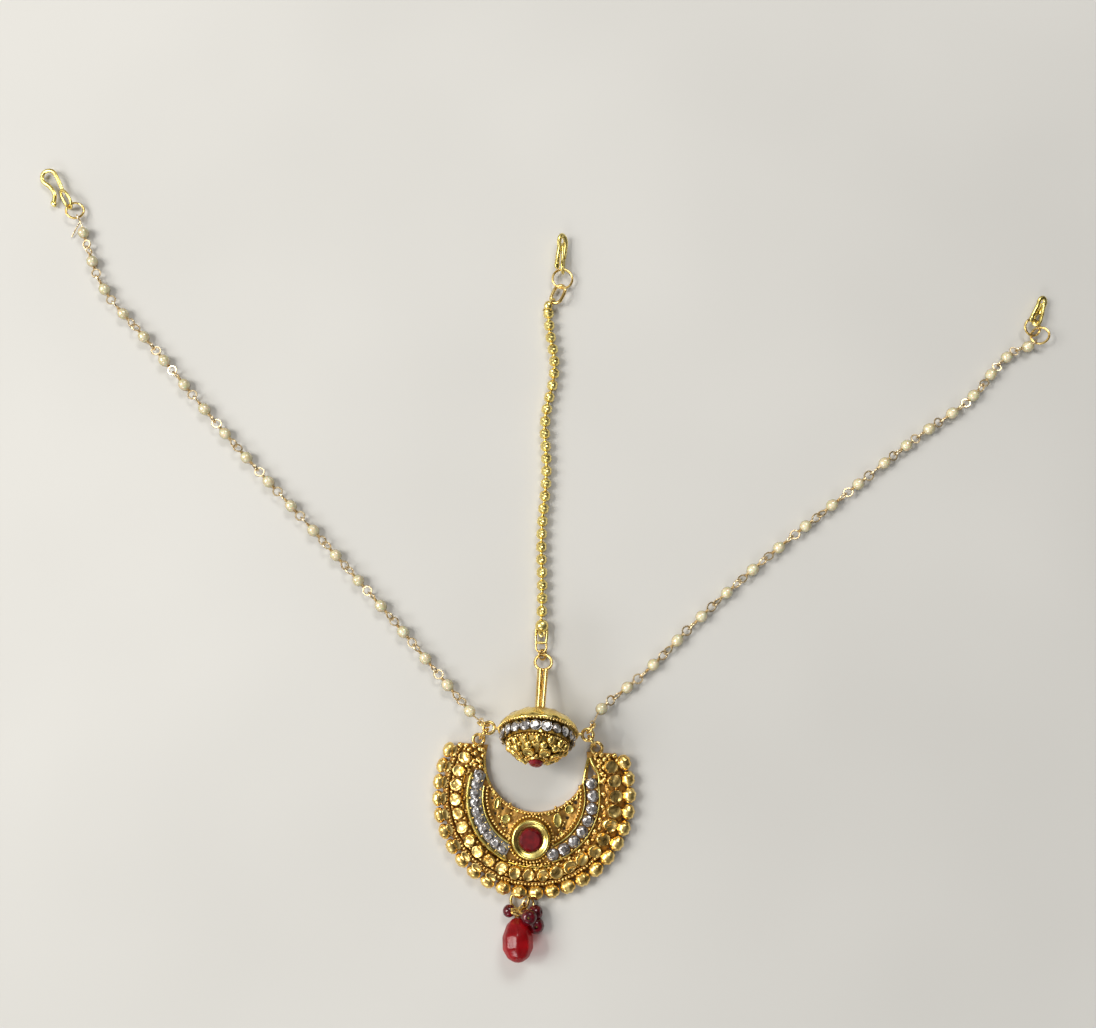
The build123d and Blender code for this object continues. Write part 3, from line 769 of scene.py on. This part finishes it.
def setStones(name, node, girdle, crown, pavilion, cupDepth, places):
    # eight-sided stones, each over its own foil
    glass = repeated(name + "_glass", brilliant("stone", girdle, 0.55, crown, pavilion, 8), places)
    dress(glass, rhinestone, "clear_stone", node)
    dress(repeated(name + "_foil", foilCup(girdle, cupDepth, 8), places), silverFoil, "clear_stone")


for side, bedStart, bedSweep in (("left", 160, 88), ("right", 20, -88)):
    node = "stones_" + side
    setStones(node, node, stones["radius"][side], 0.45, 0.7, 0.75, stonePlaces(*stones[side]))
    bed = spun("stoneBed_" + side, wallProfile(14.6, 17.8, 1.15, 2.2, 0.1), bedStart, bedSweep, 48, channel)
    dress(settle(bed, bed.name), silverFoil if side == "left" else groundGold)
fringe = arcPlaces(channel, 19.35, 2.3, 16, -66, 3.3)  # granules outside the right wall
wallGrains = [place @ turn(-40) @ stretch(1.5, 0.95, 1) for place in fringe]
dress(repeated("wallGranules", buildLump(0.62), wallGrains), antiqueGold)
prongs = []
for side in ("left", "right"):
    count, first, last = stones[side]
    step = (last - first) / (count - 1)
    for i in range(count + 1):
        for radius in (14.95, 17.65):
            prongs.append(onArc(channel, radius, first + step * (i - 0.5), 2.95))
dress(repeated("stoneProngs", grain(0.3), prongs), antiqueGold)

centreRuby = moved(brilliant("centreRuby", 3.28, 0.74, 0.9, 1.1, 14), move(0, 0, 3.72))
dress(settle(centreRuby, "centreRuby"), rubyGlass, "ruby_stone", "centre_ruby")
print("stones ready")


boss = {"y": 27.7, "lean": 23.5, "lip": 11.0, "lipFrom": -2.4, "belt": 21, "beltStone": 1.38,
        "stemRing": -22.7, "stemRingRadius": 2.35,
        "sideEye": 13.5, "sideEyeAlong": -2.0, "sideEyeRadius": 1.5}
lean = radians(boss["lean"])
bossAxis = Vector((0, -cos(lean), sin(lean)))
bossUp = Vector((0, sin(lean), cos(lean)))
bossCentre = Vector((0, boss["y"], boss["lip"] * bossUp.z - boss["lipFrom"] * bossAxis.z))
bossFrame = move(*bossCentre) @ Matrix((Vector((1, 0, 0)), bossUp, bossAxis)).transposed().to_4x4()


def onBoss(radius, degrees, along, outwards=90.0):
    # a place round the boss whose local Z leans outwards by so many degrees from its axis
    a = radians(degrees)
    around = move(radius * cos(a), radius * sin(a), along) @ turn(degrees)
    return bossFrame @ around @ turn(outwards, "Y")


capProfile = [(0.0, -8.45), (1.3, -8.4), (3.6, -7.6), (6.4, -6.6), (8.7, -5.2), (10.3, -3.6), (10.85, -2.9),
              (11.0, -2.4), (11.0, -1.75), (10.8, -1.6), (8.6, -1.6), (0.0, -1.6)]
cap = spun("bossCap", capProfile, steps=72)
editAll(cap)
bpy.ops.mesh.subdivide(number_cuts=1)
doneEditing()
hammer = bpy.data.textures.new("hammerMarks", "VORONOI")
hammer.noise_scale = 2.0 * mm
hammer.distance_metric = "DISTANCE"
modified(cap, "DISPLACE", texture=hammer, strength=0.5 * mm, mid_level=0.75, texture_coords="LOCAL")
dress(smooth(settle(moved(cap, bossFrame), "bossCap"), 70), hammeredGold, "antique_gold", "boss")

domeProfile = [(0.0, 6.2), (2.4, 6.2), (2.9, 5.5), (4.6, 4.9), (6.3, 3.9), (7.3, 2.9), (7.9, 1.6), (8.7, 1.5),
               (8.7, -1.5), (0.0, -1.5)]
tipProfile = [(0.0, 5.8), (2.5, 5.8), (2.5, 6.5), (2.35, 6.75), (2.1, 6.8), (1.92, 6.6), (0.0, 6.5)]
domeParts = [moved(spun("bossDome", domeProfile, steps=64), bossFrame),
             moved(spun("tipBezel", tipProfile, steps=32), bossFrame)]
dress(smooth(joined("bossDome", domeParts), 35), darkenedGold)

bossPetals = [onBoss(4.6, 90 + 51.4 * i + 26, 5.0, 28) @ sway(14) @ stretch(1.6, 1.8, 2.0) for i in range(7)]
dress(roughCast(repeated("bossPetals", buildPetal(), bossPetals), 0.5), darkenedGold)
bossGrains = []
for count, radius, along, outwards, size in ((74, 10.75, -1.75, 90, 1), (58, 8.1, 1.95, 60, 1.1),
                                             (16, 2.9, 6.0, 20, 1.2)):
    bossGrains += [onBoss(radius, 360 * i / count, along, outwards) @ stretch(size, size, size)
                   for i in range(count)]
dress(repeated("bossGranules", grain(0.4), bossGrains), antiqueGold)
bossLumps = []
for i in range(14):  # a row of tall bosses under the belt
    bossLumps.append(onBoss(7.65, 360 / 14 * i + 12, 2.75, 66)
                     @ stretch(1.5, random.uniform(1.0, 1.15), 1.35))
for i in range(10):  # larger ones below them, small ones in the gaps
    a = 76 + 36 * i
    bossLumps.append(onBoss(6.15, a + random.uniform(-3, 3), 4.0, 45)
                     @ stretch(1.35, random.uniform(1.25, 1.5), 1.5))
    bossLumps.append(onBoss(6.75, a + 18 + random.uniform(-5, 5), 3.7, 48) @ stretch(0.75, 0.8, 0.9))
dress(repeated("bossLumps", buildLump(0.95), bossLumps), darkenedGold)

beltPlaces = [onBoss(10.0, 360 * (i + 0.5) / boss["belt"], 0.05, 90) @ turn(random.uniform(0, 45))
              @ sway(8, "X") for i in range(boss["belt"])]
setStones("bossStones", "boss_stones", boss["beltStone"], 0.42, 0.8, 0.8, beltPlaces)
tipRuby = moved(brilliant("bossRuby", 2.05, 0.66, 0.75, 0.9, 12), bossFrame @ move(0, 0, 7.0))
dress(settle(tipRuby, "bossRuby"), foiledRubyGlass, "ruby_stone", "boss_ruby")


def onAxis(x, along, y=0.0):
    return bossCentre + bossAxis * along + bossUp * y + Vector((x, 0, 0))


def sideEye(side):
    return onAxis(side * boss["sideEye"], boss["sideEyeAlong"])


strand = ((0.66, -7.4), (0.68, -12), (0.76, -17), (0.8, -20.4))  # the pair spreads towards the ring
stemParts = [tube("strand", [onAxis(side * x, along) for x, along in strand], 0.76, 14) for side in (-1, 1)]
stemParts.append(moved(spun("stemRing", roundWire(boss["stemRingRadius"], 0, 0.42, 12), steps=48),
                       move(*onAxis(0, boss["stemRing"])) @ facing(bossUp)))
for side in (-1, 1):
    ring = spun("sideEye", roundWire(boss["sideEyeRadius"], 0, 0.46, 12), steps=36)
    lug = [onAxis(side * x, boss["sideEyeAlong"]) for x in (10.4, 11.3, 12.0)]
    stemParts += [moved(ring, move(*sideEye(side))), tube("lug", lug, 0.45)]
dress(smooth(joined("bossStem", stemParts), 60), drawnGold, "gold_wire")
print("boss ready")


pearls = {"radius": 1.74, "loop": 1.25, "wire": 0.26, "lie": 1.72, "chainLie": 1.66}


def laid(height, *places):  # a run that lies on the surface
    return [(x, y, height) for x, y in places]


leftRoute = laid(
    pearls["lie"], (-149.3, 170.6), (-145.9, 162.4), (-139.6, 149.2), (-123.0, 134.0), (-98.0, 108.2),
    (-70.0, 82.6), (-46.5, 60.4), (-33.4, 47.2), (-26.0, 39.7)) + [(-21.2, 35.0, 2.0), (-18.2, 32.2, 4.3)]
rightRoute = [(16.3, 35.8, 4.3), (19.3, 38.9, 2.0)] + laid(
    pearls["lie"], (24.4, 43.3), (31.5, 50.2), (43.5, 64.2), (62.0, 83.0), (84.0, 102.6), (104.5, 121.5),
    (120.6, 133.6), (128.6, 145.6), (134.0, 150.4), (138.6, 151.8))
chainRoute = laid(
    pearls["chainLie"], (-6.0, 154.3), (-5.3, 146.5), (-2.0, 134.5), (-5.1, 119.0), (-2.6, 104.5),
    (-3.4, 84.5), (-1.5, 68.0), (-1.4, 59.8))


def smoothLine(points):  # close places along a route, in millimetres
    holder = smoothCurve("route", points, 1, 32)
    bpy.context.view_layer.update()
    mesh = bpy.data.meshes.new_from_object(holder)
    places = [vertex.co.copy() for vertex in mesh.vertices]
    bpy.data.objects.remove(holder)
    bpy.data.meshes.remove(mesh)
    return places


def lengthOf(line):
    return sum((b - a).length for a, b in zip(line, line[1:]))


def alongLine(line, distance):  # point and heading so far along
    for a, b in zip(line, line[1:]):
        step = (b - a).length
        if distance <= step:
            return a.lerp(b, distance / step), (b - a).normalized()
        distance -= step
    return line[-1], (line[-1] - line[-2]).normalized()


def buildPearl():  # slightly long, with its drilled ends
    pearl = sphere(20, 14, pearls["radius"])
    for end in (-1, 1):
        editFaces(pearl, lambda c, n: c.z * end > 0.95 * pearls["radius"] * mm)
        inset((0.08, -0.18))
    return smooth(settle(pearl, "pearl"), 70)


def buildEyeWire(reach):  # neck from the pearl with its wraps, and the loop at its end, along local Z
    bits = []
    loopFoot = reach - pearls["loop"]
    bpy.ops.mesh.primitive_cylinder_add(vertices=6, radius=pearls["wire"] * mm, depth=(loopFoot - 1.2) * mm,
                                        location=(0, 0, (loopFoot + 1.2) / 2 * mm))
    bits.append(bpy.context.object)
    for z in (1.7, 2.05, 2.4):
        bpy.ops.mesh.primitive_torus_add(major_segments=9, minor_segments=4, major_radius=0.36 * mm,
                                         minor_radius=0.18 * mm, location=(0, 0, z * mm),
                                         rotation=(radians(12), radians(6), 0))
        bits.append(bpy.context.object)
    bpy.ops.mesh.primitive_torus_add(major_segments=20, minor_segments=6, major_radius=pearls["loop"] * mm,
                                     minor_radius=pearls["wire"] * mm, location=(0, 0, reach * mm),
                                     rotation=(radians(90), 0, 0))
    bits.append(bpy.context.object)
    return smooth(joined("eyeWire", bits), 60)


def endEye(tubeEnd, eye, roll):  # the string's last eye, where the CAD eye is, and its neck
    run = (Vector(tubeEnd) - Vector(eye)).normalized()
    ring = moved(spun("endEye", roundWire(0.95, 0, 0.25, 8), steps=24),
                 move(*eye) @ facing(tipped(run, roll)))
    foot = Vector(eye) + run * 0.95
    neck = tube("endNeck", [foot, foot.lerp(Vector(tubeEnd), 0.5), Vector(tubeEnd) + run * 2.2], 0.24, 6)
    return [ring, neck]


def toward(start, end, distance):
    start = Vector(start)
    return start + (Vector(end) - start).normalized() * distance


def jumpCentre(side, stringEnd):
    eye = sideEye(side)
    level = Vector((stringEnd[0] - eye.x, stringEnd[1] - eye.y, 0)).normalized()
    return toward(eye + level * boss["sideEyeRadius"], stringEnd, 0.6)


strings = {
    "left": {"route": leftRoute, "stations": [(0, 3.5), (9, 91.5), (19, 190.2)], "node": "pearl_string_left",
             "ends": [(leftRoute[0], toward((-151.5, 174.3, 1.75), leftRoute[0], 2.74), -97),
                      (leftRoute[-1], toward(jumpCentre(-1, leftRoute[-1]), leftRoute[-1], 1.8), -14)]},
    "right": {"route": rightRoute, "stations": [(0, 1.4), (4, 40.5), (11, 111.0), (16, 153.6), (18, 168.2)],
              "node": "pearl_string_right",
              "ends": [(rightRoute[0], toward(jumpCentre(1, rightRoute[0]), rightRoute[0], 1.8), 30),
                       (rightRoute[-1], toward((140.54, 154.9, 2.18), rightRoute[-1], 2.7), 103)]},
}


def pearlSpots(stations):  # distances, even between stations of (pearl number, distance)
    spots = []
    for (first, near), (last, far) in zip(stations, stations[1:]):
        spots += spread(near, far, last - first)[:-1]
    return spots + [stations[-1][1]]


for side, string in strings.items():
    line = smoothLine(string["route"])
    length = lengthOf(line)
    spots = pearlSpots(string["stations"])
    pitch = (spots[-1] - spots[0]) / (len(spots) - 1)
    pearlPlaces, wirePlaces, rolls = [], [], []
    reach = pitch / 2 - pearls["loop"] + pearls["wire"] + 0.05  # neighbouring loops hang in each other
    for i, distance in enumerate(spots):
        spot, heading = alongLine(line, distance)
        stand = Matrix.Translation(spot * mm) @ facing(heading, (0, 0, 1))
        wobble = sway(5, "X") @ sway(5, "Y")
        size = random.uniform(0.93, 0.98)
        pearlPlaces.append(stand @ wobble @ turn(random.uniform(0, 360))
                           @ stretch(size, size, random.uniform(1.02, 1.12)))
        rolls.append(random.uniform(-15, 75))
        if i < len(spots) - 1:
            wirePlaces.append(stand @ turn(rolls[i]) @ stretch(1, 1, (spots[i + 1] - distance) / pitch))
        if i > 0:
            wirePlaces.append(stand @ turn(180, "X") @ turn(-rolls[i - 1] - 90)
                              @ stretch(1, 1, (distance - spots[i - 1]) / pitch))
    dress(repeated("pearls_" + side, buildPearl(), pearlPlaces), pearlLacquer, "pearl", string["node"])
    wires = [repeated("wires", buildEyeWire(reach), wirePlaces)]
    for tubeEnd, eye, roll in string["ends"]:
        wires += endEye(tubeEnd, eye, roll)
    if side == "left":  # the loose end of the wire at the hook
        wires.append(tube("wireTail", [(-149.6, 171.2, 1.2), (-150.6, 169.2, 1.0), (-151.3, 167.4, 0.8),
                                       (-151.9, 166.2, 0.5)], 0.2, 6))
    dress(joined("pearlWires_" + side, wires), roseWire, "gold_wire")
    print("string", side, "length", round(length, 1), "pitch", round(pitch, 2))


chain = {"radius": 1.64, "balls": 25, "first": 2.65, "last": 3.1, "tip": 1.9}


def buildBall():  # lathe-cut round ball: a groove round its middle and a narrow waist at each end
    ball = sphere(16, 12, chain["radius"])
    for vertex in ball.data.vertices:
        if abs(vertex.co.z) < 0.1 * mm:
            vertex.co.x *= 0.88
            vertex.co.y *= 0.88
    bits = [smooth(settle(ball, "ball"), 22)]
    bpy.ops.mesh.primitive_cylinder_add(vertices=10, radius=0.42 * mm, depth=3.8 * mm)
    bits.append(smooth(bpy.context.object, 60))
    return joined("ball", bits)


def buildTip():  # the larger end bead and its cup: two straps and a cross bar over the link, along local Z
    bits = [smooth(settle(sphere(20, 12, chain["tip"]), "tipBead"), 80)]
    for side in (-1, 1):
        bits.append(tube("strap", [(side * 1.45, 0, 0.6), (side * 1.62, 0.15, 2.0), (side * 1.55, 0.45, 3.6),
                                   (side * 1.35, 0.5, 4.9)], 0.36))
    bits.append(tube("crossBar", [(-1.5, 0.5, 4.7), (0, 0.75, 4.9), (1.5, 0.5, 4.7)], 0.34))
    bits.append(tube("innerEye", [(-0.75, 0.7, 1.6), (-0.7, 0.9, 3.0), (0.7, 0.9, 3.0), (0.75, 0.7, 1.6)],
                     0.26, 6))
    return joined("tip", bits)


chainLine = smoothLine(chainRoute)
chainLength = lengthOf(chainLine)
chainPitch = (chainLength - chain["first"] - chain["last"]) / (chain["balls"] - 1)
ballPlaces = []
for i in range(chain["balls"]):
    spot, heading = alongLine(chainLine, chain["first"] + i * chainPitch)
    ballPlaces.append(Matrix.Translation(spot * mm) @ facing(heading) @ sway(6, "X")
                      @ turn(random.uniform(0, 40)))
chainBits = [repeated("balls", buildBall(), ballPlaces)]
spot, heading = alongLine(chainLine, 0.2)
chainBits.append(moved(smooth(settle(sphere(14, 8, 1.15), "topCup"), 80),
                       Matrix.Translation(spot * mm) @ facing(heading) @ stretch(1.15, 0.9, 1.35)))
chainBits.append(moved(buildTip(), move(-1.15, 58.7, 1.95) @ facing((0.03, -1, -0.02))))
chainBits += endEye(chainRoute[0], toward((-3.59, 157.02, 2.11), chainRoute[0], 2.1), 104.6)
chainBits += endEye(chainRoute[-1], toward((-1.2, 55.8, 1.56), chainRoute[-1], 1.7), 63)
dress(joined("ballChain", chainBits), cutGold, "gold_balls", "ball_chain")
print("chain length", round(chainLength, 1), "pitch", round(chainPitch, 2))


hookShape = {
    "bend": [(-4.3, 4.9), (-3.6, 5.6), (-2.2, 7.3), (-2.3, 10.6), (-3.9, 13.9), (-1.9, 16.2), (1.2, 14.9),
             (1.3, 11.5), (0.5, 6.6)],
    "loop": [(0.4, 7.4), (-1.5, 5.6), (-1.6, 1.0), (0.2, 0.0), (1.8, 1.4), (1.9, 5.0)],
    "shortBend": [(-3.3, 2.6), (-3.3, 4.6), (-2.6, 8.0), (-2.1, 10.8), (-2.4, 13.9), (-0.8, 16.2),
                  (1.3, 14.9), (1.5, 11.5), (0.5, 6.6)],
    "longLoop": [(0.5, 12.6), (-0.6, 11.4), (-1.2, 7.5), (-1.7, 4.0), (-1.5, 1.0), (0.2, 0.0),
                 (1.7, 1.4), (1.6, 5.0), (1.1, 10.0)],
    "flatten": 0.72,
    "left": ("bend", "loop", 0.64, (-152.7, 175.0, 1.84), 126.6, -10.7, 0.0, -33.6, 0.935),
    "centre": ("shortBend", "longLoop", 0.76, (-2.35, 164.66, 1.79), 93.0, 43.7, 2.9, 34.9, 0.735),
    "right": ("shortBend", "longLoop", 0.66, (139.4, 158.1, 1.75), 74.0, 15.0, 1.8, -40.0, 0.565),
}


def buildHook(name):
    bendKind, loopKind, wire, foot, heading, roll, rise, twist, size = hookShape[name]
    bend, loop = [tube(kind, [(x * size, y * size, 0) for x, y in hookShape[kind]], thick, 10, closed,
                       hookShape["flatten"])
                  for kind, thick, closed in ((bendKind, wire, False), (loopKind, wire * 0.8, True))]
    loop.data.transform(turn(twist, "Y"))
    endX, endY = hookShape[bendKind][0]
    knob = smooth(sphere(12, 8, wire + 0.16, (endX * size, endY * size, 0), (1, 1.5, 0.7)), 80)
    hook = joined("hook", [bend, loop, knob])
    h, r = radians(heading), radians(rise)
    along = Vector((cos(h) * cos(r), sin(h) * cos(r), sin(r)))
    normal = tipped(along, roll)
    hook.data.transform(move(*foot) @ Matrix((along.cross(normal), along, normal)).transposed().to_4x4())
    return settle(hook, "hook_" + name + "_wire")


for name in ("left", "centre", "right"):
    dress(buildHook(name), paleGold, "gold_wire", "hook_" + name)
for node in ("jump_ring_left", "jump_ring_right", "lower_chain_link", "stem_link", "hook_ring_left",
             "hook_ring_centre", "hook_ring_right", "lower_ring_right"):
    dressCad(node, drawnGold)
upperLink = ovalLink("upperLink", (-2.93, 158.86, 2.05), (-3.7, 156.7, 2.05), 25, 1.85, 0.5)
dress(upperLink, drawnGold, "gold_wire", "upper_chain_link")
for side, name in ((-1, "left"), (1, "right")):  # from the boss's side eye down to the horn eye
    upper, lower = sideEye(side), Vector((side * 16.6, 25.8, 1.78))
    level = Vector((lower.x - upper.x, lower.y - upper.y, 0)).normalized() * 1.5
    hornLink = ovalLink("hornLink_" + name, upper + level * 1.1, lower - level * 1.1, 90, 1.15, 0.5)
    dress(hornLink, drawnGold, "gold_wire", "horn_link_" + name)
print("hooks ready")


drop = {"start": (-2.35, -20.8, 2.75), "run": (0.12, -0.96, 0.25)}
dropFrame = move(*drop["start"]) @ facing(drop["run"])


def buildDrop():  # eight-sided briolette, facets in five bands
    profile = [(0.0, 0.0), (1.2, 0.12), (2.9, 1.6), (4.2, 4.7), (4.2, 7.9), (2.9, 10.2), (1.2, 11.2),
               (0.0, 11.35)]
    stone = spun("dropStone", profile, steps=8)
    modified(stone, "BEVEL", width=0.4 * mm, segments=3, limit_method="ANGLE", angle_limit=radians(12))
    return smooth(settle(moved(stone, dropFrame), "dropStone"), 30)


dress(buildDrop(), dropGlass, "red_glass", "drop_bead")


def buildGarnet(radius):  # round bead with a drilled hole
    hole, reach = radius * 0.22, radius * 0.86
    belly = [(radius * cos(radians(a)), 0.98 * radius * sin(radians(a))) for a in spread(-62, 62, 12)]
    return smooth(spun("garnet", [(hole, -reach)] + belly + [(hole, reach)], steps=24), 50)


garnets = {"garnet_left": ((-4.6, -19.3, 1.78), 1.74, (0.75, -0.2, 0.6)),
           "garnet_upper": ((0.95, -20.1, 4.75), 2.2, (-0.1, 0.1, 0.98)),
           "garnet_lower": ((3.0, -22.5, 2.3), 2.25, (0.1, -0.1, 0.98)),
           "garnet_back": ((2.6, -19.2, 2.1), 2.05, (0.9, 0.2, 0.3))}
for name, (place, radius, hole) in garnets.items():
    bead = moved(buildGarnet(radius), move(*place) @ facing(hole))
    nodes = [name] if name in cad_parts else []  # the one behind is trim without a CAD solid
    dress(settle(bead, name + "_bead"), garnetGlass, "garnet_glass", *nodes)

wraps = []
for x, y, z, long, swing, roll in ((-2.3, -18.6, 2.5, 2.0, 8, 66), (-2.5, -19.4, 2.5, 2.1, -10, 72),
                                   (-2.7, -20.1, 2.6, 1.7, -22, 74), (-1.3, -18.2, 2.6, 1.5, 60, 60)):
    wraps.append(moved(spun("turnOfWire", roundWire(1.0, 0, 0.26, 8), steps=32),
                       move(x, y, z) @ turn(swing) @ turn(roll, "X") @ stretch(long, 1.0, 1.0)))
for name, thick, points in (  # pins through the garnets and the drop
        ("pinLeft", 0.24, [(-2.0, -19.0, 2.6), (-3.2, -19.3, 2.4), (-4.9, -19.2, 1.7), (-5.9, -19.4, 1.2)]),
        ("pinUpper", 0.24, [(-2.0, -18.7, 2.9), (-1.4, -19.2, 3.9), (0.2, -19.8, 5.6), (1.0, -20.0, 6.6)]),
        ("pinLower", 0.24, [(-1.2, -19.2, 2.6), (0.8, -20.6, 2.2), (3.0, -22.4, 3.0), (3.2, -22.5, 4.0)]),
        ("dropPin", 0.3, [(-2.2, -18.9, 2.0), (-2.6, -20.0, 2.4), (-2.7, -21.2, 2.8)])):
    wraps.append(tube(name, points, thick, 6))
wraps.append(spun("secondRing", roundWire(1.5, 1.2, 0.26, 8), centre=(0.5, -17.2), steps=32))
dress(joined("dropWire", wraps), drawnGold, "gold_wire", "drop_wrap")
print("drop ready")
